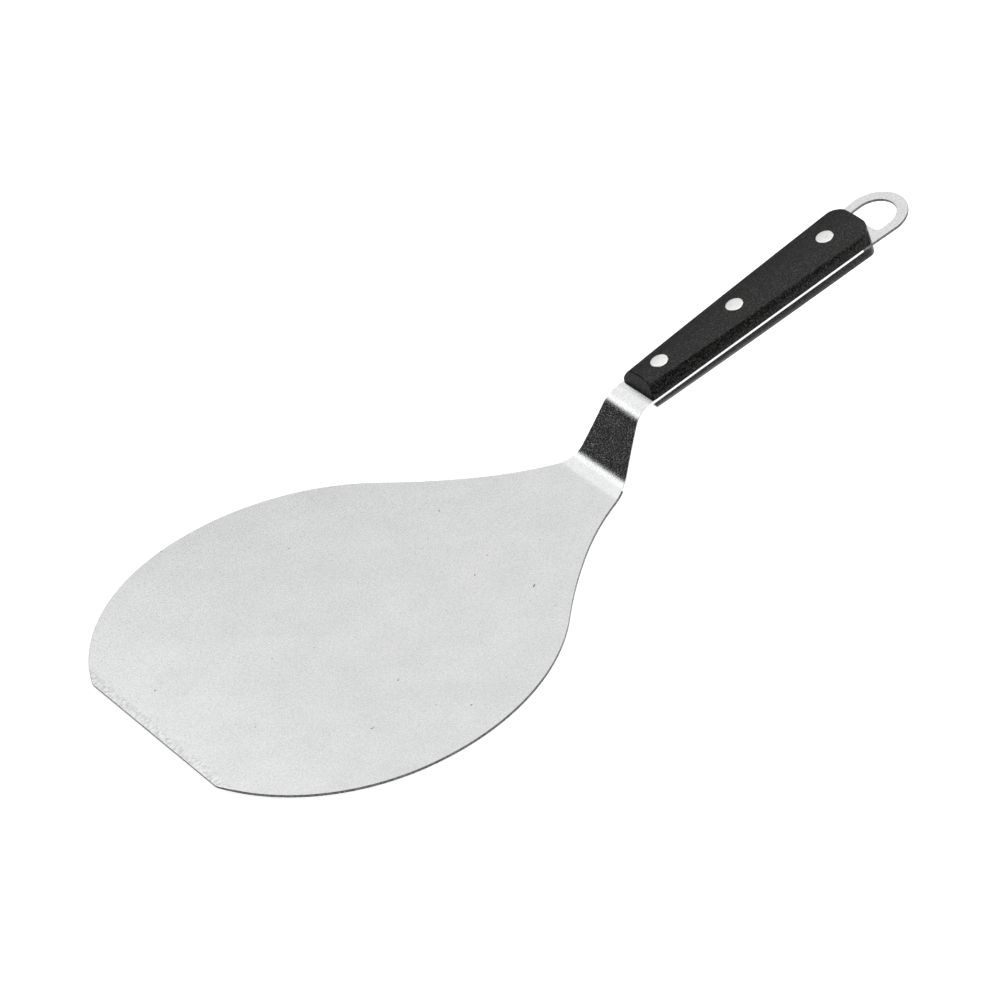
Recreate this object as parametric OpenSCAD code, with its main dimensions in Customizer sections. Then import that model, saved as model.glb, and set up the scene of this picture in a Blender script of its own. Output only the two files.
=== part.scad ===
// Pizza peel: a round steel blade with a raised, riveted two-scale handle and a hanging loop.
// The origin is the centre of the round blade on its underside. +X runs to the handle, +Z is up.

/* [Blade] */
// Radius of the round part of the blade
blade_r = 100; // [90:1:130]
// Thickness of the steel sheet
sheet_t = 1.2; // [1:0.1:1.5]
// Distance from the blade's centre to its straight front edge
front_reach = 81.5; // [79:0.5:84]
// Radius of the two corners of the front edge
front_corner_r = 5; // [3:0.5:8]
// Radius of the tighter arc that brings each side forward to its corner
side_r = 84.3; // [84:0.1:84.6]
// Angle from the handle's axis at which the round turns into that tighter arc
side_turn = 100.5; // [98:0.5:104]
// Width of the bevel ground along the front edge
bevel_w = 3.6; // [2:0.1:6]
// Thickness left at the ground edge
edge_t = 0.8; // [0.4:0.05:0.9]

/* [Neck] */
// Angle from the axis at which the round side turns into the neck
blend_at = 41.5; // [41.4:0.1:41.6]
// Radius of the first hollow arc of the neck
neck_r1 = 262; // [250:1:275]
// Angle through which the first hollow arc turns
neck_turn1 = 9.02; // [8:0.1:10]
// Radius of the second hollow arc of the neck
neck_r2 = 138.8; // [136:0.2:142]
// Angle to the axis at which the second hollow arc ends
neck_end_angle = 16.8; // [16:0.1:18]
// Radius of the small arc that brings the neck parallel to the axis
neck_r3 = 30; // [20:1:40]

/* [Crank] */
// Distance from the blade's centre to the foot of the riser
riser_foot_x = 138.5; // [137:0.5:140]
// Distance from the blade's centre to the head of the riser
riser_head_x = 156.8; // [154:0.5:163]
// Height of the sheet's top face at the head of the riser
riser_head_z = 28.25; // [24:0.5:32]
// Inside radius of the lower bend
lower_bend_r = 13; // [10:0.5:20]
// Outside radius of the upper bend
upper_bend_r = 13; // [9:0.5:16]
// Angle at which the handle rises from the blade's plane
handle_tilt = 8.63; // [5:0.1:12]

/* [Handle scales] */
// Distance from the riser's head to the front of the scales
scale_front = 7.6; // [7:0.1:9]
// Distance from the riser's head to the rear of the scales
scale_rear = 127.8; // [122:0.1:128]
// Half width of the grip where its rear corners begin
grip_rear_half_w = 13.45; // [12.7:0.05:13.6]
// Radius of the rear corners of the scales
rear_corner_r = 8.5; // [7:0.5:9.5]
// Radius of the front corners of the scales
front_edge_r = 2; // [1:0.5:3]
// Height of one scale at its crown
crown_h = 6.8; // [6:0.1:8]
// Lean of the front face of a scale
front_lean = 20.8; // [10:0.5:25]
// Crown radius of the scale at its front
crown_r_front = 31; // [26:1:40]
// Angle at which the crown flattens towards the rear
crown_flare = 11.6; // [8:0.1:13]

/* [Rivets] */
// Radius of a rivet head
head_r = 3.88; // [3.5:0.01:4.2]
// Depth of a rivet head
head_h = 2.4; // [2:0.1:3]
// Outer radius of the rivet's socket
socket_r = 2.5; // [2.3:0.05:2.8]
// Radius of the rivet's stud
stud_r = 1.6; // [1.4:0.05:1.8]
// Radial clearance round the rivets
rivet_gap = 0.05; // [0.03:0.01:0.1]

/* [Hanging loop] */
// Distance from the riser's head to the centre of the loop's round end
loop_centre = 136.6; // [135:0.2:145]
// Outer radius of the loop
loop_r = 14.5; // [14:0.1:16]
// Inner radius of the loop
loop_hole_r = 9.6; // [8:0.1:10.2]
// Distance from the riser's head to the straight inner end of the hole
loop_hole_start = 130.5; // [130:0.1:134]
// Radius of the hole's inner corners
loop_corner_r = 2.5; // [1.5:0.1:4]

/* [Hidden] */
$fn = 96;

steel = [0.80, 0.81, 0.80];
black = [0.12, 0.12, 0.12];
bright = [0.88, 0.88, 0.87];

// Distance of each rivet from the riser's head, in the order of rivet_names
rivet_at = [21.3, 61.9, 111.3];
rivet_names = ["front", "middle", "rear"];

// Tighter arc of the side: its centre, and the point where it leaves the round
side_centre = (blade_r - side_r) * [cos(side_turn), sin(side_turn)];
side_end = blade_r * [cos(side_turn), sin(side_turn)];

// Front corners: arc centre, and the point where the arc meets the side
corner_x = front_corner_r - front_reach;
corner_gap = corner_x - side_centre[0];
corner_y = side_centre[1] + sqrt(pow(side_r - front_corner_r, 2) - corner_gap * corner_gap);
corner_angle = atan2(corner_y - side_centre[1], corner_gap);
corner_end = side_centre + side_r * [cos(corner_angle), sin(corner_angle)];

// An arc starts at p with heading a and turns left by s at radius r, or right when both are negative
function arc_end(p, a, r, s) = p + r * [sin(a + s) - sin(a), cos(a) - cos(a + s)];
function arc_points(p, a, r, s, n) = [for (i = [0 : n]) arc_end(p, a, r, s * i / n)];

// The neck's side: three hollow arcs, each tangent to the one before
neck_a0 = blend_at - 90;
neck_a1 = neck_a0 + neck_turn1;
neck_a2 = -neck_end_angle;
neck_p0 = blade_r * [cos(blend_at), sin(blend_at)];
neck_p1 = arc_end(neck_p0, neck_a0, neck_r1, neck_turn1);
neck_p2 = arc_end(neck_p1, neck_a1, neck_r2, neck_a2 - neck_a1);
neck_p3 = arc_end(neck_p2, neck_a2, neck_r3, -neck_a2);
neck_half_w = neck_p3[1];

// The riser's slope, and the length of each bend's tangent
riser_angle = atan2(riser_head_z - sheet_t, riser_head_x - riser_foot_x);
lower_tangent = lower_bend_r * tan(riser_angle / 2);
upper_tangent = upper_bend_r * tan((riser_angle - handle_tilt) / 2);
upper_start = [riser_head_x, riser_head_z] - upper_tangent * [cos(riser_angle), sin(riser_angle)];

// The neck's outline hands over to the tang's here, between the scales
tang_start = 10;
tang_length = loop_centre + loop_r + 10;
side_w = 2 * blade_r + 20;

// Where the grip's rear corners begin, and the angle at which the loop's flank meets its round end
grip_corner_u = scale_rear - rear_corner_r;
loop_gap = [loop_centre - grip_corner_u, grip_rear_half_w];
loop_touch = 90 + atan2(loop_gap[1], loop_gap[0]) - asin(loop_r / norm(loop_gap));

// Places its children in the handle's frame: X along the tang, Z = 0 on the tang's top face
module on_handle() {
    translate([riser_head_x, 0, riser_head_z])
        rotate([0, -handle_tilt, 0])
            children();
}

// Mirrors its children to the underside of the tang
module below_tang() {
    translate([0, 0, -sheet_t])
        mirror([0, 0, 1])
            children();
}

// A strip symmetric about the X axis, from half width h0 at x0 to h1 at x1
module strip(x0, h0, x1, h1) {
    polygon([[x0, -h0], [x0, h0], [x1, h1], [x1, -h1]]);
}

// The area between a side line and its mirror image across the X axis
module mirrored_side(side) {
    last = len(side) - 1;
    polygon(concat(side, [for (i = [last : -1 : 0]) [side[i][0], -side[i][1]]]));
}

// A box of half width h that ends in two rounded corners; it reaches from x0 to x1
module rounded_end(x0, x1, h, r) {
    intersection() {
        strip(min(x0, x1), h, max(x0, x1), h);
        union() {
            strip(min(x0, x1), h - r, max(x0, x1), h - r);
            for (side = [1, -1])
                translate([x0, side * (h - r)])
                    circle(r = r);
        }
    }
}

// The blade and neck seen from above, as one side line that follows its arcs from front to back
module blade_outline() {
    mirrored_side(concat(
        arc_points([-front_reach, corner_y], 90, -front_corner_r, corner_angle - 180, 8),
        arc_points(corner_end, corner_angle - 90, -side_r, side_turn - corner_angle, 24),
        arc_points(side_end, side_turn - 90, -blade_r, blend_at - side_turn, 30),
        arc_points(neck_p0, neck_a0, neck_r1, neck_turn1, 12),
        arc_points(neck_p1, neck_a1, neck_r2, neck_a2 - neck_a1, 20),
        arc_points(neck_p2, neck_a2, neck_r3, -neck_a2, 6),
        [[riser_head_x + tang_start - 1, neck_half_w]]
    ));
}

// The tang's outline: the grip's tapered flanks, then the loop's flanks and round end
module tang_outline() {
    touch = [loop_centre + loop_r * cos(loop_touch), loop_r * sin(loop_touch)];
    strip(tang_start - 3, neck_half_w, tang_start, neck_half_w);
    strip(tang_start, neck_half_w, grip_corner_u, grip_rear_half_w);
    strip(grip_corner_u, grip_rear_half_w, touch[0], touch[1]);
    intersection() {
        strip(touch[0], loop_r, loop_centre + loop_r, loop_r);
        translate([loop_centre, 0])
            circle(r = loop_r);
    }
}

// The hole of the loop: round at the rear, straight with small corners at the front
module loop_hole() {
    corner_u = loop_hole_start + loop_corner_r;
    rounded_end(corner_u, loop_hole_start, loop_hole_r, loop_corner_r);
    strip(corner_u, loop_hole_r, loop_centre, loop_hole_r);
    intersection() {
        strip(loop_centre, loop_hole_r, loop_centre + loop_hole_r, loop_hole_r);
        translate([loop_centre, 0])
            circle(r = loop_hole_r);
    }
}

// The sheet's side line through both bends, at a depth below its top face
function bent_line(depth) = concat(
    arc_points([riser_foot_x - lower_tangent, sheet_t - depth], 0, lower_bend_r + depth, riser_angle, 12),
    arc_points(upper_start + depth * [sin(riser_angle), -cos(riser_angle)],
        riser_angle, -(upper_bend_r - depth), handle_tilt - riser_angle, 16)
);

// The whole sheet seen from the side: ground edge, flat, lower bend, riser, upper bend, tang
module sheet_profile() {
    tang_end = [riser_head_x, riser_head_z] + tang_length * [cos(handle_tilt), sin(handle_tilt)];
    under = bent_line(sheet_t);
    polygon(concat(
        [[-front_reach - 1, 0], [-front_reach - 1, edge_t]],
        [[-front_reach, edge_t], [bevel_w - front_reach, sheet_t]],
        bent_line(0),
        [tang_end, tang_end + sheet_t * [sin(handle_tilt), -cos(handle_tilt)]],
        [for (i = [len(under) - 1 : -1 : 0]) under[i]]
    ));
}

// Extrudes a side view across the whole width
module across() {
    rotate([90, 0, 0])
        linear_extrude(height = side_w, center = true)
            children();
}

// The whole sheet with its bends and ground front edge, before the holes
module bent_sheet() {
    intersection() {
        union() {
            translate([0, 0, -1])
                linear_extrude(height = riser_head_z + 20)
                    blade_outline();
            on_handle()
                translate([0, 0, -2 * sheet_t])
                    linear_extrude(height = 3 * sheet_t)
                        tang_outline();
        }
        across()
            sheet_profile();
    }
}

// The hole of the loop and the three rivet holes
module tang_holes() {
    translate([0, 0, -3 * sheet_t]) {
        linear_extrude(height = 5 * sheet_t)
            loop_hole();
        for (at = rivet_at)
            translate([at, 0, 0])
                cylinder(r = socket_r + rivet_gap, h = 5 * sheet_t);
    }
}

// Blade, crank, tang and loop, bent from one sheet
module blade() {
    color(steel)
        difference() {
            bent_sheet();
            on_handle()
                tang_holes();
        }
}

// One scale seen from above
module scale_outline() {
    front_u = scale_front + front_edge_r;
    rounded_end(front_u, scale_front, neck_half_w, front_edge_r);
    strip(front_u, neck_half_w, tang_start, neck_half_w);
    strip(tang_start, neck_half_w, grip_corner_u, grip_rear_half_w);
    rounded_end(grip_corner_u, scale_rear, grip_rear_half_w, rear_corner_r);
}

// Cone that rounds the flanks of a scale: low and round at the front, upright at the rear
module flank_cone() {
    drop_front = 3.08;
    r_front = 11;
    r_rear = 14;
    rise = atan2(drop_front + 0.1, 140);
    translate([0, 0, -drop_front])
        rotate([0, 90 - rise, 0])
            cylinder(r1 = r_front, r2 = r_rear, h = 140);
}

// Cone that gives a scale its slightly domed top; its crown runs parallel to the tang
module crown_cone() {
    length = 150;
    translate([-crown_r_front * sin(crown_flare), 0, crown_h - crown_r_front * cos(crown_flare)])
        rotate([0, 90 + crown_flare, 0])
            cylinder(r1 = crown_r_front, r2 = crown_r_front + length * tan(crown_flare), h = length);
}

// Wedge that leans the front face of a scale
module front_cut() {
    lean = tan(front_lean);
    rotate([90, 0, 0])
        linear_extrude(height = 40, center = true)
            polygon([
                [scale_front - 10, -1],
                [scale_front - lean, -1],
                [scale_front + 12 * lean, 12],
                [scale_front - 10, 12]
            ]);
}

// Room for one rivet: a pocket for the head and a hole for the socket
module rivet_room(at) {
    translate([at, 0, crown_h - head_h])
        cylinder(r = head_r + rivet_gap, h = head_h + 2);
    translate([at, 0, -1])
        cylinder(r = socket_r + rivet_gap, h = crown_h);
}

// One scale lying on the tang's top face
module handle_scale() {
    difference() {
        intersection() {
            linear_extrude(height = crown_h + 2)
                scale_outline();
            flank_cone();
            crown_cone();
        }
        front_cut();
        for (at = rivet_at)
            rivet_room(at);
    }
}

// A rivet head, ground flush with the crown
module rivet_head(at) {
    intersection() {
        translate([at, 0, crown_h - head_h])
            cylinder(r = head_r, h = head_h + 1);
        crown_cone();
    }
}

// Upper half of a rivet: a head with a hollow socket that reaches down to the other head
module rivet_socket(at) {
    depth = 2 * (crown_h - head_h) + sheet_t - 0.2;
    color(bright)
        on_handle() {
            rivet_head(at);
            translate([at, 0, crown_h - head_h - depth])
                difference() {
                    cylinder(r = socket_r, h = depth);
                    translate([0, 0, -1])
                        cylinder(r = stud_r + rivet_gap / 2, h = depth + 0.6);
                }
        }
}

// Lower half of a rivet: a head with a stud that is pressed up into the socket
module rivet_stud(at) {
    color(bright)
        on_handle() {
            below_tang()
                rivet_head(at);
            translate([at, 0, head_h - crown_h - sheet_t])
                cylinder(r = stud_r, h = 2 * (crown_h - head_h) + sheet_t - 1);
        }
}

// Upper scale
module scale_upper() {
    color(black)
        on_handle()
            handle_scale();
}

// Lower scale, the mirror image of the upper one
module scale_lower() {
    color(black)
        on_handle()
            below_tang()
                handle_scale();
}

blade();
scale_upper();
scale_lower();
for (i = [0 : len(rivet_at) - 1]) {
    rivet_socket(rivet_at[i]);
    rivet_stud(rivet_at[i]);
}
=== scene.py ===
import math

import bpy
from mathutils import Euler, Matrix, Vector
from mathutils.geometry import tessellate_polygon


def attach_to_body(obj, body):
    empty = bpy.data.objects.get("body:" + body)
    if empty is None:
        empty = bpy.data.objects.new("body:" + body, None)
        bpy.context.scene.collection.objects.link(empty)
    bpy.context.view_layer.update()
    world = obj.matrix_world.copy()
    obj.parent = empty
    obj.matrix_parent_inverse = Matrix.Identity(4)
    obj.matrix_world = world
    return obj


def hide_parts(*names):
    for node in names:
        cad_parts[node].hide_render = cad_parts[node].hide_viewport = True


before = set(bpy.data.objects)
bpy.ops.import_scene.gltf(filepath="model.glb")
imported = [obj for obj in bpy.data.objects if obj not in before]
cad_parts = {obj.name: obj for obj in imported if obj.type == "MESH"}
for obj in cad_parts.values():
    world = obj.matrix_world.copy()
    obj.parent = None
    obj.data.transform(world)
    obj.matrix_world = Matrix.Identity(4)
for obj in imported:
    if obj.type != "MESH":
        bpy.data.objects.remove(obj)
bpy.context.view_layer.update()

MM = 0.001
RAD = math.pi / 180

# ---------------------------------------------------------------- the part's own dimensions, in mm
SHEET_T = 1.2
BLADE_R = 100.0
FRONT_REACH = 81.5
FRONT_CORNER_R = 5.0
SIDE_R = 84.3
SIDE_TURN = 100.5
BEVEL_W = 3.6
EDGE_T = 0.8
BLEND_AT = 41.5
NECK_ARCS = ((262.0, 9.02), (138.8, 22.68), (30.0, 16.8))
RISER_FOOT_X = 138.5
RISER_HEAD_X = 156.8
RISER_HEAD_Z = 28.25
LOWER_BEND_R = 13.0
UPPER_BEND_R = 13.0
HANDLE_TILT = 8.63
TANG_START = 10.0
SCALE_FRONT = 7.6
SCALE_REAR = 127.8
GRIP_REAR_HALF_W = 13.45
REAR_CORNER_R = 8.5
FRONT_EDGE_R = 2.0
CROWN_H = 6.8
FRONT_LEAN = 20.8
CROWN_R_FRONT = 31.0
CROWN_FLARE = 11.6
FLANK_DROP = 3.08
FLANK_R_FRONT = 11.0
FLANK_R_REAR = 14.0
FLANK_LENGTH = 140.0
RIVET_AT = {"front": 21.3, "middle": 61.9, "rear": 111.3}
HEAD_R = 3.88
HEAD_H = 2.4
SOCKET_R = 2.5
STUD_R = 1.6
RIVET_GAP = 0.05
LOOP_CENTRE = 136.6
LOOP_R = 14.5
LOOP_HOLE_R = 9.6
LOOP_HOLE_START = 130.5
LOOP_CORNER_R = 2.5

# Painted light and shade: the sheet's cut edges take the bright lit edge colour above this height and before
# this distance, and a near-black painted shade everywhere else
LIT_EDGE_Z = 3.0
LIT_EDGE_X = 283.0

# Mesh: the last row across the sheet before the tang widens, this far along the handle
TANG_ROW_U = 9.0

# Finish: how far the sheet's cut edges and the scales' edges are broken
EDGE_BREAK = 0.14
SCALE_BREAK = 0.5


def cos(degrees):
    return math.cos(degrees * RAD)


def sin(degrees):
    return math.sin(degrees * RAD)


# ---------------------------------------------------------------- the sheet's outline
def arc_end(p, a, r, s):
    """Where an arc ends that starts at p with heading a and turns left by s at radius r."""
    return (p[0] + r * (sin(a + s) - sin(a)), p[1] + r * (cos(a) - cos(a + s)))


def arc_side(p, a, r, s, n):
    """Points of that arc with their outward normals; the outside is on its left."""
    out = []
    for i in range(n + 1):
        h = a + s * i / n
        out.append((arc_end(p, a, r, s * i / n), (-sin(h), cos(h))))
    return out


def flat_side():
    """The left side of blade and neck from the front edge to the tang: (point, outward normal)."""
    sx = (BLADE_R - SIDE_R) * cos(SIDE_TURN)
    sy = (BLADE_R - SIDE_R) * sin(SIDE_TURN)
    cx = FRONT_CORNER_R - FRONT_REACH
    cy = sy + math.sqrt((SIDE_R - FRONT_CORNER_R) ** 2 - (cx - sx) ** 2)
    turn = math.degrees(math.atan2(cy - sy, cx - sx))
    corner_end = (sx + SIDE_R * cos(turn), sy + SIDE_R * sin(turn))
    side_end = (BLADE_R * cos(SIDE_TURN), BLADE_R * sin(SIDE_TURN))
    p = (BLADE_R * cos(BLEND_AT), BLADE_R * sin(BLEND_AT))
    side = arc_side((-FRONT_REACH, cy), 90, -FRONT_CORNER_R, turn - 180, 8)
    side += arc_side(corner_end, turn - 90, -SIDE_R, SIDE_TURN - turn, 36)[1:]
    side += arc_side(side_end, SIDE_TURN - 90, -BLADE_R, BLEND_AT - SIDE_TURN, 48)[1:]
    a = BLEND_AT - 90
    for (r, s), n in zip(NECK_ARCS, (14, 32, 10)):
        side += arc_side(p, a, r, s, n)[1:]
        p = arc_end(p, a, r, s)
        a += s
    return side


FLAT_SIDE = flat_side()
NECK_HALF_W = FLAT_SIDE[-1][0][1]


def side_at(x):
    """Half width and outward normal of the flat outline at x, behind the blade's widest point."""
    for (p, m), (q, n) in zip(FLAT_SIDE[20:], FLAT_SIDE[21:]):
        if p[0] <= x <= q[0]:
            k = (x - p[0]) / (q[0] - p[0])
            return p[1] + k * (q[1] - p[1]), (m[0] + k * (n[0] - m[0]), m[1] + k * (n[1] - m[1]))
    return NECK_HALF_W, (0.0, 1.0)


def grip_half_w(u):
    """Half width of the tang under the scales."""
    corner = SCALE_REAR - REAR_CORNER_R
    k = max(0.0, u - TANG_START) / (corner - TANG_START)
    return NECK_HALF_W + k * (GRIP_REAR_HALF_W - NECK_HALF_W)


# ---------------------------------------------------------------- the sheet's side view
def side_frames():
    """Stations along the sheet from the lower bend to the riser's head: (point on the top, slope)."""
    slope = math.degrees(math.atan2(RISER_HEAD_Z - SHEET_T, RISER_HEAD_X - RISER_FOOT_X))
    foot = LOWER_BEND_R * math.tan(slope / 2 * RAD)
    head = UPPER_BEND_R * math.tan((slope - HANDLE_TILT) / 2 * RAD)
    start = (RISER_FOOT_X - foot, SHEET_T)
    top = (RISER_HEAD_X - head * cos(slope), RISER_HEAD_Z - head * sin(slope))
    lower = [(arc_end(start, 0, LOWER_BEND_R, slope * i / 14), slope * i / 14) for i in range(15)]
    turn = HANDLE_TILT - slope
    upper = [(arc_end(top, slope, -UPPER_BEND_R, turn * i / 18), slope + turn * i / 18) for i in range(19)]
    p, q = lower[-1][0], upper[0][0]
    riser = [((p[0] + (q[0] - p[0]) * k / 8, p[1] + (q[1] - p[1]) * k / 8), slope) for k in range(1, 8)]
    return lower + riser + upper


def tang_point(u):
    """A point of the tang's top face."""
    return (RISER_HEAD_X + u * cos(HANDLE_TILT), RISER_HEAD_Z + u * sin(HANDLE_TILT))


def bevel_top(x):
    """Height of the top face at x in the flat part."""
    return min(SHEET_T, EDGE_T + (SHEET_T - EDGE_T) * (x + FRONT_REACH) / BEVEL_W)


class Station:
    """One row across the sheet: a point and slope of the top face, its thickness,
    half width and side normal."""

    def __init__(self, point, slope, half_w, out, thick=SHEET_T, tip=0.0):
        self.point, self.slope, self.half_w, self.out = point, slope, half_w, out
        self.thick = thick
        self.up = Vector((-sin(slope), 0, cos(slope)))
        self.along = Vector((cos(slope), 0, sin(slope)))
        self.normal = Vector((-sin(slope + tip), 0, cos(slope + tip)))

    def place(self, s, y, n):
        """The point s further along, y to the side and n above the top face."""
        return Vector((self.point[0], y, self.point[1])) + self.along * s + self.up * n

    def outward(self, side=1):
        return (self.along * self.out[0] + Vector((0, side * self.out[1], 0))).normalized()


def stations():
    """Every row of the sheet from the front edge to the tang's first scale."""
    rows = []
    tip = math.degrees(math.atan2(SHEET_T - EDGE_T, BEVEL_W))
    crease = BEVEL_W - FRONT_REACH
    bend = side_frames()
    bend_start = bend[0][0][0]
    flat = [(p, n) for p, n in FLAT_SIDE if p[0] < bend_start - 0.4]
    for x in (crease - 0.12, crease + 0.12):
        i = next(k for k, (p, n) in enumerate(flat) if p[0] > x)
        (p, m), (q, n) = flat[i - 1], flat[i]
        k = (x - p[0]) / (q[0] - p[0])
        mid = (m[0] + k * (n[0] - m[0]), m[1] + k * (n[1] - m[1]))
        flat.insert(i, ((x, p[1] + k * (q[1] - p[1])), mid))
    for (x, y), n in flat:
        z = bevel_top(x)
        rows.append(Station((x, z), 0, y, n, z, tip if x < crease else 0))
    for (x, z), slope in bend:
        half_w, n = side_at(x)
        rows.append(Station((x, z), slope, half_w, (n[0] * cos(slope), n[1])))
    rows.append(Station(tang_point(TANG_ROW_U), HANDLE_TILT, NECK_HALF_W, (0, 1)))
    return rows


# ---------------------------------------------------------------- mesh building
class Mesh:
    """Collects vertices with their own normals, and faces with a material index, in mm."""

    def __init__(self):
        self.points, self.normals, self.faces, self.slots = [], [], [], []

    def add(self, point, normal):
        self.points.append(tuple(point))
        self.normals.append(tuple(Vector(normal).normalized()))
        return len(self.points) - 1

    def face(self, loop, slot=0):
        loop = [v for i, v in enumerate(loop) if v != loop[i - 1]]
        if len(loop) > 2:
            self.faces.append(loop)
            self.slots.append(slot)

    def strip(self, a, b, slot=0, closed=False):
        """Quads between two rows of equal length; their front is towards b x a."""
        n = len(a)
        for i in range(n if closed else n - 1):
            j = (i + 1) % n
            self.face((a[i], a[j], b[j], b[i]), slot)

    def build(self, name, materials):
        mesh = bpy.data.meshes.new(name)
        mesh.from_pydata([tuple(c * MM for c in p) for p in self.points], [], self.faces)
        mesh.polygons.foreach_set("material_index", self.slots)
        mesh.polygons.foreach_set("use_smooth", [True] * len(self.faces))
        mesh.update()
        mesh.normals_split_custom_set_from_vertices(self.normals)
        for m in materials:
            mesh.materials.append(m)
        obj = bpy.data.objects.new(name, mesh)
        bpy.context.scene.collection.objects.link(obj)
        return obj


COLUMNS = 25
ROUND_STEPS = 3


def quarter(r):
    """A broken edge from flat to upright: (outward share, drop, up share of the normal, out share)."""
    out = []
    for k in range(ROUND_STEPS + 1):
        a = 90 * k / ROUND_STEPS
        out.append((r * sin(a), r * (1 - cos(a)), cos(a), sin(a)))
    return out


def rim(mesh, base):
    """The broken edge round a loop of (place, outward, up, top normal, thickness).
    Returns its top and bottom rows.
    place is the loop's point on the top face, already set in by EDGE_BREAK."""
    rows = []
    for o, drop, nu, no in quarter(EDGE_BREAK):
        rows.append([mesh.add(p + out * o - up * drop, top * nu + out * no) for p, out, up, top, t in base])
    for o, drop, nu, no in reversed(quarter(EDGE_BREAK)):
        rows.append([mesh.add(p + out * o - up * (t - drop), up * -nu + out * no)
                     for p, out, up, top, t in base])
    for a, b in zip(rows, rows[1:]):
        for i in range(len(a)):
            j = (i + 1) % len(a)
            x, _, z = mesh.points[a[i]]
            # Painted shade: edges low by the floor or far back get the near-black edge copy, the rest the
            # bright lit copy
            mesh.face((a[i], a[j], b[j], b[i]), 2 if z > LIT_EDGE_Z and x < LIT_EDGE_X else 1)
    return rows[0], rows[-1]


def loop_end_side():
    """The left side of the tang behind the first scale, in its own plane: (point, outward normal)."""
    corner = SCALE_REAR - REAR_CORNER_R
    gap = (LOOP_CENTRE - corner, GRIP_REAR_HALF_W)
    touch = 90 + math.degrees(math.atan2(gap[1], gap[0]) - math.asin(LOOP_R / math.hypot(*gap)))
    slope = math.degrees(math.atan2(GRIP_REAR_HALF_W - NECK_HALF_W, corner - TANG_START))
    side = [((u, grip_half_w(u)), (-sin(slope), cos(slope))) for u in (30, 60, 90, corner - 1)]
    side.append(((corner, GRIP_REAR_HALF_W), (cos(touch), sin(touch))))
    for i in range(25):
        a = touch - (touch - 4) * i / 24
        side.append(((LOOP_CENTRE + LOOP_R * cos(a), LOOP_R * sin(a)), (cos(a), sin(a))))
    return side


def loop_hole_ring():
    """The hole of the loop: (point, direction from the steel into the hole), anticlockwise."""
    ring = []
    for i in range(33):
        a = -90 + 180 * i / 32
        ring.append(((LOOP_CENTRE + LOOP_HOLE_R * cos(a), LOOP_HOLE_R * sin(a)), (-cos(a), -sin(a))))
    for side in (1, -1):
        cu, cv = LOOP_HOLE_START + LOOP_CORNER_R, side * (LOOP_HOLE_R - LOOP_CORNER_R)
        for i in range(9):
            a = (90 + 90 * i / 8) if side > 0 else (180 + 90 * i / 8)
            ring.append(((cu + LOOP_CORNER_R * cos(a), cv + LOOP_CORNER_R * sin(a)), (-cos(a), -sin(a))))
    return ring


def rivet_hole_ring(at, r, n=40):
    ring = []
    for i in range(n):
        a = 360 * i / n
        ring.append(((at + r * cos(a), r * sin(a)), (-cos(a), -sin(a))))
    return ring


def tang_loop(ring):
    """Rim stations of a ring that lies in the tang's plane."""
    tilt = Station(tang_point(0), HANDLE_TILT, 0, (0, 1))
    out = []
    for (u, v), (a, b) in ring:
        direction = tilt.along * a + Vector((0, b, 0))
        point = tilt.place(u - a * EDGE_BREAK, v - b * EDGE_BREAK, 0)
        out.append((point, direction, tilt.up, tilt.up, SHEET_T))
    return out


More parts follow.
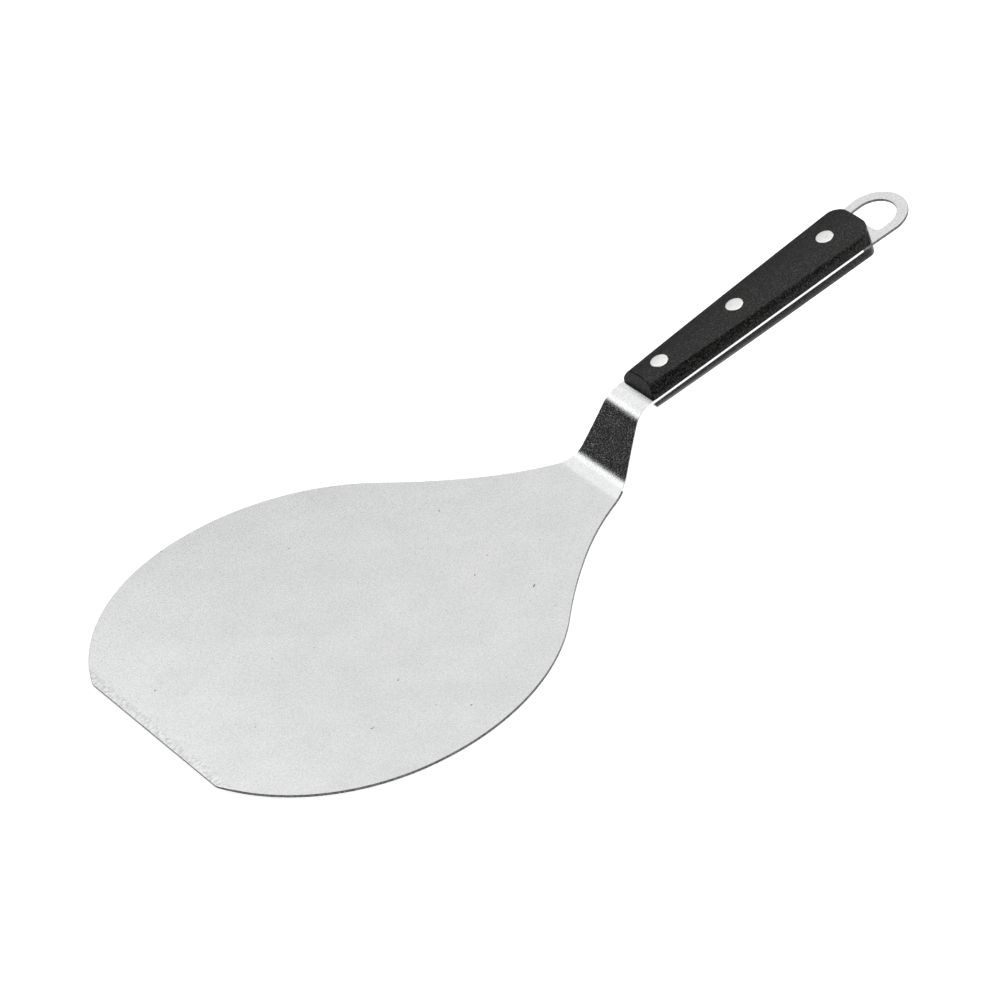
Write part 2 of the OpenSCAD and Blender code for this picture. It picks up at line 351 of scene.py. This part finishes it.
def blade_mesh(materials):
    """The whole sheet: flat blade with its ground edge, neck, riser, tang and loop."""
    mesh = Mesh()
    rows = stations()
    tilt = Station(tang_point(0), HANDLE_TILT, 0, (0, 1))
    left, right = [], []
    for s in rows:
        for side, store in ((1, left), (-1, right)):
            inset = s.outward(side) * -EDGE_BREAK
            store.append((s.place(0, side * s.half_w, 0) + inset, s.outward(side), s.up, s.normal, s.thick))
    back = loop_end_side()
    for (u, v), (a, b) in back:
        for side, store in ((1, left), (-1, right)):
            direction = tilt.along * a + Vector((0, side * b, 0))
            point = tilt.place(u - a * EDGE_BREAK, side * (v - b * EDGE_BREAK), 0)
            store.append((point, direction, tilt.up, tilt.up, SHEET_T))
    tail = []
    for i in range(1, 4):
        a = 4 - 8 * i / 4
        direction = tilt.along * cos(a) + Vector((0, sin(a), 0))
        tail.append((tilt.place(LOOP_CENTRE, 0, 0) + direction * (LOOP_R - EDGE_BREAK),
                     direction, tilt.up, tilt.up, SHEET_T))
    first = left[0]
    front = []
    for j in range(1, COLUMNS - 1):
        y = first[0].y * (2 * j / (COLUMNS - 1) - 1)
        front.append((Vector((first[0].x, y, first[0].z)), Vector((-1, 0, 0)), first[2], first[3], first[4]))
    loop = left + tail + right[::-1] + front
    top, bottom = rim(mesh, loop)
    n, m = len(left), len(left) + len(tail)
    total = len(loop)

    def fill(rim_row, up, reverse):
        """The rows across the sheet between the two sides of a rim; returns the last row, where the tang's
        patch joins.
        """
        previous = None
        for i, s in enumerate(rows):
            l, r = rim_row[i], rim_row[m + (n - 1 - i)]
            if i == 0:
                row = [r] + rim_row[m + n:total] + [l]
            else:
                a, b = Vector(mesh.points[r]), Vector(mesh.points[l])
                normal = s.normal if up else -s.up
                row = [r] + [mesh.add(a.lerp(b, j / (COLUMNS - 1)), normal)
                             for j in range(1, COLUMNS - 1)] + [l]
            if previous:
                if reverse:
                    mesh.strip(row, previous)
                else:
                    mesh.strip(previous, row)
            previous = row
        return previous

    seam_top = fill(top, True, True)
    seam_bottom = fill(bottom, False, False)
    holes = [loop_hole_ring()] + [rivet_hole_ring(at, SOCKET_R + RIVET_GAP) for at in RIVET_AT.values()]
    hole_rows = [rim(mesh, tang_loop(ring)) for ring in holes]
    k = len(rows)
    for level, rim_row, seam, flip in ((0, top, seam_top, False), (1, bottom, seam_bottom, True)):
        outer = seam + rim_row[k:n] + rim_row[n:m] + rim_row[m:m + n - k]
        loops = [outer] + [h[level] for h in hole_rows]
        flat = [v for lp in loops for v in lp]
        planes = [[Vector(((Vector(mesh.points[v]) - tilt.place(0, 0, 0)).dot(tilt.along),
                           mesh.points[v][1], 0)) for v in lp] for lp in loops]
        for tri in tessellate_polygon(planes):
            a, b, c = (flat[t] for t in tri)
            ab = Vector(mesh.points[b]) - Vector(mesh.points[a])
            ac = Vector(mesh.points[c]) - Vector(mesh.points[a])
            facing_up = ab.cross(ac).dot(tilt.up) > 0
            mesh.face((a, b, c) if facing_up != flip else (a, c, b), 0)
    return mesh.build("blade_sheet", materials)


# ---------------------------------------------------------------- the handle scales
def scale_half_w(u):
    """Half width of a scale seen from above, with its rounded corners."""
    w = grip_half_w(min(u, SCALE_REAR - REAR_CORNER_R))
    front = SCALE_FRONT + FRONT_EDGE_R
    rear = SCALE_REAR - REAR_CORNER_R
    if u < front:
        return w - FRONT_EDGE_R + math.sqrt(max(0.0, FRONT_EDGE_R ** 2 - (front - u) ** 2))
    if u > rear:
        return w - REAR_CORNER_R + math.sqrt(max(0.0, REAR_CORNER_R ** 2 - (u - rear) ** 2))
    return w


def crown_radius(u):
    return (CROWN_R_FRONT + u * sin(CROWN_FLARE)) / cos(CROWN_FLARE)


def crown_n(u, v):
    """Height of the domed top above the tang."""
    r = crown_radius(u)
    return CROWN_H - r + math.sqrt(max(0.0, r * r - v * v))


def soft_min(a, b, k):
    h = max(k - abs(a - b), 0.0) / k
    return min(a, b) - h * h * k / 4


def section_radius(u, angle, inset):
    """Distance from the flank's axis to the scale's skin, at an angle above the tang, and the axis depth."""
    drop = FLANK_DROP - (FLANK_DROP + 0.1) * u / FLANK_LENGTH
    flank = FLANK_R_FRONT + (FLANK_R_REAR - FLANK_R_FRONT) * u / FLANK_LENGTH - inset
    c, s = cos(angle), sin(angle)
    side = (scale_half_w(u) - inset) / max(c, 1e-6)
    r = crown_radius(u)
    low = CROWN_H - r - inset + drop
    top = s * low + math.sqrt(r * r - (c * low) ** 2)
    around = soft_min(flank, side, SCALE_BREAK)
    return soft_min(around, top, SCALE_BREAK), drop


def shoulder_angle(u, inset):
    """Angle at which the domed top meets the flank."""
    low, high = 12.0, 88.0
    for _ in range(30):
        mid = (low + high) / 2
        r, drop = section_radius(u, mid, inset)
        c, s = cos(mid), sin(mid)
        above = crown_n(u, min(r * c, 20)) - inset + drop - r * s
        side = scale_half_w(u) - inset - r * c
        flank = FLANK_R_FRONT + (FLANK_R_REAR - FLANK_R_FRONT) * u / FLANK_LENGTH - inset - r
        if above < min(side, flank):
            high = mid
        else:
            low = mid
    return mid


PATCH = 5.2
PATCH_CELLS = 8
FLANK_COLUMN = PATCH_CELLS // 2 + 9
FRONT_ROWS = 6


def section(u0, lean, inset):
    """Half of one row across a scale, from its crown to its foot: points (u, v, n)."""
    def settled(angle_or_v, by_angle):
        n, u, v = 0.0, u0, 0.0
        for _ in range(4):
            u = u0 + lean * n * math.tan(FRONT_LEAN * RAD)
            if by_angle:
                r, drop = section_radius(u, angle_or_v, inset)
                v, n = r * cos(angle_or_v), r * sin(angle_or_v) - drop
            else:
                v, n = angle_or_v, crown_n(u, angle_or_v) - inset
        return (u, v, n)

    flat_w = min(PATCH, scale_half_w(u0) - inset - 0.7)
    half = [settled(flat_w * 2 * j / PATCH_CELLS, False) for j in range(PATCH_CELLS // 2 + 1)]
    drop = FLANK_DROP - (FLANK_DROP + 0.1) * u0 / FLANK_LENGTH
    first = math.degrees(math.atan2(half[-1][2] + drop, flat_w))
    ridge = shoulder_angle(half[-1][0], inset)
    last = math.degrees(math.atan2(drop, scale_half_w(u0) - inset))
    break_angle = 2.6
    stops = [first + (ridge + break_angle - first) * k / 3 for k in (1, 2, 3)]
    stops += [ridge + break_angle - 2 * break_angle * k / 6 for k in range(1, 7)]
    stops += [ridge - break_angle + (last - ridge + break_angle) * (k / 8) for k in range(1, 8)]
    half += [settled(a, True) for a in stops]
    w = scale_half_w(u0) - inset
    half.append((u0, w, 0.0))
    return half


def scale_rows():
    """The rows of a scale from front to rear, as (position, lean, inset)."""
    e = SCALE_BREAK * 0.7
    rows = [(SCALE_FRONT, 1.0, e + 0.25)]
    rows += [(SCALE_FRONT + e - e * cos(a), 1.0, e - e * sin(a)) for a in (0, 22, 45, 67, 90)]
    rows += [(u, 1.0 - (u - 8.0) / 8.1, 0.0) for u in (8.3, 8.8, 9.6, 11.0, 12.6, 14.4)]
    stops = []
    for at in sorted(RIVET_AT.values()):
        stops.append([at + PATCH * (2 * j / PATCH_CELLS - 1) for j in range(PATCH_CELLS + 1)])
    for k, block in enumerate(stops):
        rows += [(u, 0.0, 0.0) for u in block]
        if k + 1 < len(stops):
            gap = stops[k + 1][0] - block[-1]
            rows += [(block[-1] + gap * j / 9, 0.0, 0.0) for j in range(1, 9)]
    corner = SCALE_REAR - REAR_CORNER_R
    rows += [(stops[-1][-1] + (corner - stops[-1][-1]) * j / 2, 0.0, 0.0) for j in (1, 2)]
    rows += [(corner + REAR_CORNER_R * sin(a), 0.0, 0.0) for a in range(8, 72, 8)]
    rows += [(SCALE_REAR - e + e * sin(a), 0.0, e - e * cos(a)) for a in (0, 22, 45, 67, 89)]
    rows += [(SCALE_REAR, 0.0, e + 0.25)]
    return rows


class HandleFrame:
    """Turns handle coordinates into the part's frame, for the upper or the lower side of the tang."""

    def __init__(self, upper):
        self.upper = upper
        self.base = Station(tang_point(0), HANDLE_TILT, 0, (0, 1))

    def point(self, u, v, n):
        return self.base.place(u, v, n if self.upper else -SHEET_T - n)

    def face(self, mesh, loop, slot=0):
        mesh.face(loop if self.upper else loop[::-1], slot)


def plain_mesh(name, mesh, materials, sharp=38):
    """Builds a mesh whose normals follow its faces, with creases sharper than an angle kept."""
    data = bpy.data.meshes.new(name)
    data.from_pydata([tuple(c * MM for c in p) for p in mesh.points], [], mesh.faces)
    data.polygons.foreach_set("material_index", mesh.slots)
    data.polygons.foreach_set("use_smooth", [True] * len(mesh.faces))
    data.update()
    data.set_sharp_from_angle(angle=sharp * RAD)
    for m in materials:
        data.materials.append(m)
    obj = bpy.data.objects.new(name, data)
    bpy.context.scene.collection.objects.link(obj)
    return obj


UP = Vector((0, 0, 1))


def square_ring(rows, at_row, centre):
    """The vertices round one rivet's square patch of the grid, anticlockwise from its front right."""
    half = PATCH_CELLS // 2
    ring = []
    for j in range(-half, half):
        ring.append(rows[at_row][centre + j])
    for i in range(PATCH_CELLS):
        ring.append(rows[at_row + i][centre + half])
    for j in range(half, -half, -1):
        ring.append(rows[at_row + PATCH_CELLS][centre + j])
    for i in range(PATCH_CELLS, 0, -1):
        ring.append(rows[at_row + i][centre - half])
    return ring


def rivet_room(mesh, side, ring, at, flat):
    """A head pocket and a socket hole in a scale, joined to the square of the grid round them."""
    count = len(ring)
    circle = []
    for v in ring:
        u, w = flat[v]
        circle.append(math.atan2(w, u - at))

    def loop(radius, height):
        out = []
        for a in circle:
            u, v = at + radius * math.cos(a), radius * math.sin(a)
            n = crown_n(u, v) - height[1] if height[0] == "crown" else height[1]
            out.append(mesh.add(side.point(u, v, n), UP))
        return out

    r = HEAD_R + RIVET_GAP
    outer = []
    for v, a in zip(ring, circle):
        u0, v0 = flat[v]
        u1, v1 = at + (r + 0.35) * math.cos(a), (r + 0.35) * math.sin(a)
        u, w = (u0 + u1) / 2, (v0 + v1) / 2
        outer.append(mesh.add(side.point(u, w, crown_n(u, w)), UP))
    floor = CROWN_H - HEAD_H
    hole = SOCKET_R + RIVET_GAP
    loops = [ring, outer, loop(r + 0.35, ("crown", 0)), loop(r + 0.14, ("crown", 0)),
             loop(r + 0.04, ("crown", 0.05)), loop(r, ("crown", 0.14)), loop(r, ("flat", floor)),
             loop(hole, ("flat", floor)), loop(hole, ("flat", 0.0))]
    for a, b in zip(loops, loops[1:]):
        for i in range(count):
            j = (i + 1) % count
            side.face(mesh, (a[j], a[i], b[i], b[j]))
    return loops[-1]


def scale_mesh(name, upper, materials):
    """One scale: domed top, round flanks, leaning front, rounded rear corners and three rivet pockets."""
    mesh, side = Mesh(), HandleFrame(upper)
    spec = scale_rows()
    grid, flat = [], {}
    for u0, lean, inset in spec:
        half = section(u0, lean, inset)
        row = []
        for u, v, n in [(u, -v, n) for u, v, n in half[:0:-1]] + half:
            index = mesh.add(side.point(u, v, n), UP)
            flat[index] = (u, v)
            row.append(index)
        grid.append(row)
    centre = len(grid[0]) // 2
    half = PATCH_CELLS // 2
    patches = {}
    for at in RIVET_AT.values():
        first = min(range(len(spec)), key=lambda i: abs(spec[i][0] - (at - PATCH)) + 99 * (spec[i][1] > 0))
        patches[first] = at
    skipped = {(r + i, centre - half + j)
               for r in patches for i in range(PATCH_CELLS) for j in range(PATCH_CELLS)}
    for i in range(len(grid) - 1):
        for j in range(len(grid[0]) - 1):
            if (i, j) not in skipped:
                smooth = 1 if i < FRONT_ROWS or not centre - FLANK_COLUMN <= j < centre + FLANK_COLUMN else 0
                side.face(mesh, (grid[i][j], grid[i + 1][j], grid[i + 1][j + 1], grid[i][j + 1]), smooth)
    side.face(mesh, tuple(grid[0]), 1)
    side.face(mesh, tuple(grid[-1][::-1]))
    holes = [rivet_room(mesh, side, square_ring(grid, r, centre), at, flat) for r, at in patches.items()]
    outer = [row[0] for row in grid] + [row[-1] for row in grid[::-1]]
    loops = [outer] + holes
    names = [v for lp in loops for v in lp]
    planes = [[Vector((Vector(mesh.points[v]).dot(side.base.along), mesh.points[v][1], 0))
               for v in lp] for lp in loops]
    down = -side.base.up if upper else side.base.up
    for tri in tessellate_polygon(planes):
        a, b, c = (names[t] for t in tri)
        cross = (Vector(mesh.points[b]) - Vector(mesh.points[a])).cross(
            Vector(mesh.points[c]) - Vector(mesh.points[a]))
        mesh.face((a, b, c) if cross.dot(down) > 0 else (a, c, b))
    return plain_mesh(name, mesh, materials)


# ---------------------------------------------------------------- the rivets
def lathe_loops(mesh, side, at, profile, steps=56):
    """Loops of a rivet about its axis. Each stop is (radius, height, share of the crown's fall followed)."""
    loops = []
    for r, n, follow in profile:
        loop = []
        for i in range(steps):
            a = 360 * i / steps
            u, v = at + r * cos(a), r * sin(a)
            fall = (CROWN_H - crown_n(u, v)) * follow
            loop.append(mesh.add(side.point(u, v, n - fall), UP))
        loops.append(loop)
    for a, b in zip(loops, loops[1:]):
        for i in range(steps):
            j = (i + 1) % steps
            side.face(mesh, (a[i], b[i], b[j], a[j]))
    side.face(mesh, tuple(loops[0]))
    side.face(mesh, tuple(loops[-1][::-1]))
    return loops


def head_profile():
    """A flush head from its centre to its underside; its rim is slightly broken."""
    top = CROWN_H - 0.01
    stops = [(0.4, top, 1), (1.4, top, 1), (2.4, top, 1), (3.2, top, 1)]
    e = 0.28
    for a in (0, 22, 45, 67, 90):
        stops.append((HEAD_R - e + e * sin(a), top - e + e * cos(a), 1))
    stops.append((HEAD_R, CROWN_H - HEAD_H + 0.08, 0))
    stops.append((HEAD_R - 0.08, CROWN_H - HEAD_H, 0))
    return stops


def rivet_socket(name, at, materials):
    mesh, side = Mesh(), HandleFrame(True)
    floor = CROWN_H - HEAD_H
    depth = 2 * floor + SHEET_T - 0.2
    bore = STUD_R + RIVET_GAP / 2
    end = floor - depth
    profile = head_profile() + [(SOCKET_R, floor, 0), (SOCKET_R, end + 0.15, 0), (SOCKET_R - 0.15, end, 0),
                                (bore + 0.1, end, 0), (bore, end + 0.1, 0), (bore, floor - 0.4, 0)]
    lathe_loops(mesh, side, at, profile)
    return plain_mesh(name, mesh, materials)


def rivet_stud(name, at, materials):
    mesh, side = Mesh(), HandleFrame(False)
    floor = CROWN_H - HEAD_H
    end = floor - (2 * floor + SHEET_T - 1)
    profile = head_profile() + [(STUD_R, floor, 0), (STUD_R, end + 0.3, 0), (STUD_R - 0.3, end, 0)]
    lathe_loops(mesh, side, at, profile)
    return plain_mesh(name, mesh, materials)


# ---------------------------------------------------------------- materials
class Nodes:
    """A short way to wire one Principled material."""

    def __init__(self, name, metallic, roughness, specular=0.5):
        self.material = bpy.data.materials.new(name)
        self.material.use_nodes = True
        self.tree = self.material.node_tree
        self.shader = self.tree.nodes["Principled BSDF"]
        self.shader.inputs["Metallic"].default_value = metallic
        self.shader.inputs["Roughness"].default_value = roughness
        self.shader.inputs["Specular IOR Level"].default_value = specular
        self.place = self.tree.nodes.new("ShaderNodeTexCoord").outputs["Object"]

    def link(self, a, b):
        self.tree.links.new(a, b)

    def stretched(self, scale, turn=(0, 0, 0)):
        node = self.tree.nodes.new("ShaderNodeMapping")
        node.inputs["Scale"].default_value = scale
        node.inputs["Rotation"].default_value = [a * RAD for a in turn]
        self.link(self.place, node.inputs["Vector"])
        return node.outputs["Vector"]

    def noise(self, scale, stretch=(1, 1, 1), detail=3.0, rough=0.5, turn=(0, 0, 0)):
        node = self.tree.nodes.new("ShaderNodeTexNoise")
        node.inputs["Scale"].default_value = scale
        node.inputs["Detail"].default_value = detail
        node.inputs["Roughness"].default_value = rough
        self.link(self.stretched(stretch, turn), node.inputs["Vector"])
        return node.outputs["Fac"]

    def ramp(self, value, *stops):
        """A colour ramp through (position, grey or colour) stops."""
        node = self.tree.nodes.new("ShaderNodeValToRGB")
        elements = node.color_ramp.elements
        while len(elements) < len(stops):
            elements.new(0.5)
        for element, (position, colour) in zip(elements, stops):
            element.position = position
            c = (colour,) * 3 if isinstance(colour, (int, float)) else colour
            element.color = (*c, 1)
        self.link(value, node.inputs["Fac"])
        return node.outputs["Color"]

    def math(self, operation, a, b, c=None):
        node = self.tree.nodes.new("ShaderNodeMath")
        node.operation = operation
        for socket, value in zip(node.inputs, (a, b, c)):
            if isinstance(value, (int, float)):
                socket.default_value = value
            elif value is not None:
                self.link(value, socket)
        return node.outputs["Value"]

    def mix(self, a, b, factor, mode="MULTIPLY"):
        node = self.tree.nodes.new("ShaderNodeMix")
        node.data_type = "RGBA"
        node.blend_type = mode
        ins = [s for s in node.inputs if s.type == "RGBA"]
        fac = node.inputs[0]
        if isinstance(factor, (int, float)):
            fac.default_value = factor
        else:
            self.link(factor, fac)
        for socket, value in zip(ins, (a, b)):
            if isinstance(value, tuple):
                socket.default_value = (*value, 1)
            else:
                self.link(value, socket)
        return [s for s in node.outputs if s.type == "RGBA"][0]

    def bump(self, height, strength, distance, base=None):
        node = self.tree.nodes.new("ShaderNodeBump")
        node.inputs["Strength"].default_value = strength
        node.inputs["Distance"].default_value = distance
        self.link(height, node.inputs["Height"])
        if base is not None:
            self.link(base, node.inputs["Normal"])
        return node.outputs["Normal"]

    def finish(self, colour, roughness=None, normal=None):
        self.link(colour, self.shader.inputs["Base Color"])
        if roughness is not None:
            self.link(roughness, self.shader.inputs["Roughness"])
        if normal is not None:
            self.link(normal, self.shader.inputs["Normal"])
        return self.material


def sheet_steel():
    """Cold-rolled sheet: an even satin with a weak grain, soft mottling, dull pits and a few dark specks.
    Along the front edge it is ground: rougher, with short marks across the edge and an uneven border."""
    m = Nodes("sheet_steel", 1.0, 0.22)
    grain = m.noise(1500, (0.09, 1, 1), 3, 0.6)
    mottle = m.noise(45, (1, 1, 1), 6, 0.6)
    fine = m.noise(1000, (1, 1, 1), 4, 0.75)
    specks = m.noise(420, (1, 1, 1), 1, 0.4)
    pits = m.noise(1900, (1, 1, 1), 2, 0.6)
    scratch = m.noise(900, (0.55, 1, 1), 4, 0.7, (0, 0, 18))
    across = m.tree.nodes.new("ShaderNodeSeparateXYZ")
    m.link(m.place, across.inputs["Vector"])
    border = m.math("MULTIPLY_ADD", m.noise(500, (1, 1, 1), 3, 0.6), 0.0024, -0.0012)
    edge = m.math("SUBTRACT", (BEVEL_W - FRONT_REACH) * MM + 0.0003,
                  m.math("ADD", across.outputs["X"], border))
    ground = m.math("MULTIPLY", edge, 1800.0)
    ground = m.math("MINIMUM", m.math("MAXIMUM", ground, 0.0), 1.0)
    colour = m.ramp(mottle, (0.34, (0.868, 0.879, 0.875)), (0.66, (0.925, 0.934, 0.93)))
    colour = m.mix(colour, m.ramp(fine, (0.38, 0.86), (0.6, 1.0)), 0.9)
    colour = m.mix(colour, m.ramp(specks, (0.165, 0.3), (0.19, 1.0)), 1.0)
    worn = m.ramp(scratch, (0.4, (0.66, 0.67, 0.67)), (0.56, (0.99, 0.995, 0.995)))
    colour = m.mix(colour, worn, m.math("MULTIPLY", ground, 0.9), "MIX")
    roughness = m.math("MULTIPLY_ADD", fine, 0.12, 0.1)
    roughness = m.math("ADD", roughness, m.math("MULTIPLY", ground, 0.14))
    roughness = m.math("ADD", roughness, m.ramp(pits, (0.54, 0.0), (0.7, 0.24)))
    height = m.math("ADD", m.math("MULTIPLY", grain, 0.35), m.math("MULTIPLY", fine, 0.65))
    height = m.math("ADD", height, m.math("MULTIPLY", m.math("MULTIPLY", scratch, ground), 2.0))
    return m.finish(colour, roughness, m.bump(height, 0.3, 0.00012))


def cut_steel(name, low, high, rough):
    """The sheet's cut edges, with fine drag marks through the thickness."""
    m = Nodes(name, 1.0, rough)
    drag = m.noise(1500, (1, 1, 0.25), 2, 0.5)
    colour = m.ramp(drag, (0.3, low), (0.7, high))
    roughness = m.math("MULTIPLY_ADD", drag, 0.16, rough - 0.08)
    return m.finish(colour, roughness, m.bump(drag, 0.15, 0.00004))


def black_composite(name, rough, spread, relief, specular):
    """The scales' moulded black composite, with a pebbled surface and a little dust.
    The roughness, its spread, the relief and the shine set how smooth it is."""
    m = Nodes(name, 0.0, 0.4, specular)
    pebble = m.noise(1150, (1, 1, 1), 3, 0.65)
    cloud = m.noise(90, (1, 1, 1), 4, 0.6)
    dust = m.noise(1500, (1, 1, 1), 2, 0.7)
    colour = m.ramp(pebble, (0.4, (0.001, 0.001, 0.001)), (0.62, (0.02, 0.0195, 0.019)))
    colour = m.mix(colour, m.ramp(dust, (0.5, 0.0), (0.64, (0.09, 0.086, 0.082))), 0.6, "ADD")
    roughness = m.math("MULTIPLY_ADD", pebble, spread, rough)
    roughness = m.math("ADD", roughness, m.math("MULTIPLY", cloud, 0.08))
    return m.finish(colour, roughness, m.bump(pebble, 0.6, relief))


def rivet_steel():
    """The rivets: bright satin heads with faint turning marks and small scuffs."""
    m = Nodes("rivet_steel", 1.0, 0.3)
    scuff = m.noise(1100, (0.3, 1, 1), 3, 0.6, (0, 0, 40))
    cloud = m.noise(300, (1, 1, 1), 3, 0.6)
    colour = m.ramp(cloud, (0.3, (0.93, 0.93, 0.92)), (0.7, (0.99, 0.99, 0.98)))
    colour = m.mix(colour, m.ramp(scuff, (0.3, 0.86), (0.6, 1.0)), 0.6)
    roughness = m.math("MULTIPLY_ADD", scuff, 0.18, 0.2)
    return m.finish(colour, roughness, m.bump(scuff, 0.15, 0.00004))


def floor_paper():
    """A plain pale studio floor that glows a little, as paper lit from all round does."""
    m = Nodes("floor_paper", 0.0, 0.9, 0.1)
    fibre = m.noise(60, (1, 1, 1), 4, 0.6)
    distance = m.tree.nodes.new("ShaderNodeVectorMath")
    distance.operation = "LENGTH"
    m.link(m.place, distance.inputs[0])
    fade = m.math("MULTIPLY", m.math("SUBTRACT", GLOW_REACH, distance.outputs["Value"]), 2.0)
    fade = m.math("MINIMUM", m.math("MAXIMUM", fade, 0.0), 1.0)
    m.shader.inputs["Emission Color"].default_value = (1, 1, 1, 1)
    m.link(m.math("MULTIPLY", fade, FLOOR_GLOW), m.shader.inputs["Emission Strength"])
    return m.finish(m.ramp(fibre, (0.3, 0.93), (0.7, 0.95)))


# ---------------------------------------------------------------- the studio
FLOOR_GLOW = 0.6
GLOW_REACH = 1.15
FLOOR_HALF = 6.0
FLOOR_Z = -0.0002
WORLD = 0.015


def softbox(name, target, direction, distance, size, radiance, colour=(1, 1, 1)):
    """A rectangular light that faces the target from a direction."""
    light = bpy.data.lights.new(name, "AREA")
    light.shape = "RECTANGLE"
    light.size, light.size_y = size
    light.energy = radiance * math.pi * size[0] * size[1]
    light.color = colour
    obj = bpy.data.objects.new(name, light)
    d = Vector(direction).normalized()
    obj.location = Vector(target) + d * distance
    obj.rotation_euler = (-d).to_track_quat("-Z", "Y").to_euler()
    bpy.context.scene.collection.objects.link(obj)
    return obj


def studio():
    world = bpy.data.worlds.new("studio")
    bpy.context.scene.world = world
    world.use_nodes = True
    background = world.node_tree.nodes["Background"]
    background.inputs["Color"].default_value = (1, 1, 1, 1)
    background.inputs["Strength"].default_value = WORLD
    softbox("back_softbox", (0.1, 0.0, 0.02), (-0.05, 0.67, 0.743), 1.5, (3.2, 0.9), 0.82)
    softbox("back_centre", (0.1, 0.0, 0.02), (-0.17, 0.71, 0.68), 1.45, (1.25, 0.7), 0.17)
    softbox("bend_strip", (0.1, 0.0, 0.02), (-0.42, 0.71, 0.56), 1.4, (0.34, 0.36), 0.3)
    softbox("top_wide", (0.1, 0.0, 0.0), (0.1, 0.0, 1.0), 1.9, (2.4, 2.0), 0.75)
    softbox("top_small", (0.1, 0.0, 0.0), (0.3, -0.1, 0.95), 1.7, (0.8, 0.8), 2.4)
    softbox("far_softbox", (0.1, 0.0, 0.0), (0.68, -0.66, 0.32), 1.8, (1.8, 0.9), 0.5)
    softbox("side_softbox", (0.1, 0.0, 0.0), (0.93, 0.05, 0.36), 1.6, (0.5, 0.4), 12.0)
    softbox("front_fill", (0.1, 0.0, 0.0), (-0.35, -0.8, 0.75), 1.9, (1.2, 1.2), 0.5)


def floor():
    mesh = bpy.data.meshes.new("floor")
    s = FLOOR_HALF
    corners = [(-s, -s, FLOOR_Z), (s, -s, FLOOR_Z), (s, s, FLOOR_Z), (-s, s, FLOOR_Z)]
    mesh.from_pydata(corners, [], [(0, 1, 2, 3)])
    mesh.materials.append(floor_paper())
    obj = bpy.data.objects.new("floor", mesh)
    bpy.context.scene.collection.objects.link(obj)


def camera():
    data = bpy.data.cameras.new("camera")
    data.sensor_width = 36
    data.lens = 183.256
    data.clip_start = 0.05
    obj = bpy.data.objects.new("camera", data)
    obj.location = (-0.69665, -1.46073, 1.21602)
    obj.rotation_euler = Euler([a * RAD for a in (53.4927, 9.9994, -35.6693)], "XYZ")
    bpy.context.scene.collection.objects.link(obj)
    bpy.context.scene.camera = obj


# ---------------------------------------------------------------- the assembly
def attach(piece, node):
    """Stands a piece in for a CAD node."""
    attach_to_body(piece, "root")
    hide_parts(node)


def assemble():
    # Painted shade: the near-black edge copy stands in for the shade the low edges sit in; the bright copy
    # is the lit one of the same cut steel
    steel = [sheet_steel(), cut_steel("shaded_edge", 0.07, 0.2, 0.34),
             cut_steel("lit_edge", 0.86, 0.97, 0.3)]
    attach(blade_mesh(steel), "blade")
    black = [black_composite("pebbled_black", 0.2, 0.3, 0.0004, 0.28),
             black_composite("smooth_black", 0.1, 0.16, 0.00008, 0.1)]
    attach(scale_mesh("grip_upper", True, black), "scale_upper")
    attach(scale_mesh("grip_lower", False, black), "scale_lower")
    bright = [rivet_steel()]
    for place, at in RIVET_AT.items():
        attach(rivet_socket("socket_" + place, at, bright), "rivet_socket_" + place)
        attach(rivet_stud("stud_" + place, at, bright), "rivet_stud_" + place)


assemble()
floor()
studio()
camera()
bpy.context.scene.view_settings.view_transform = "Standard"
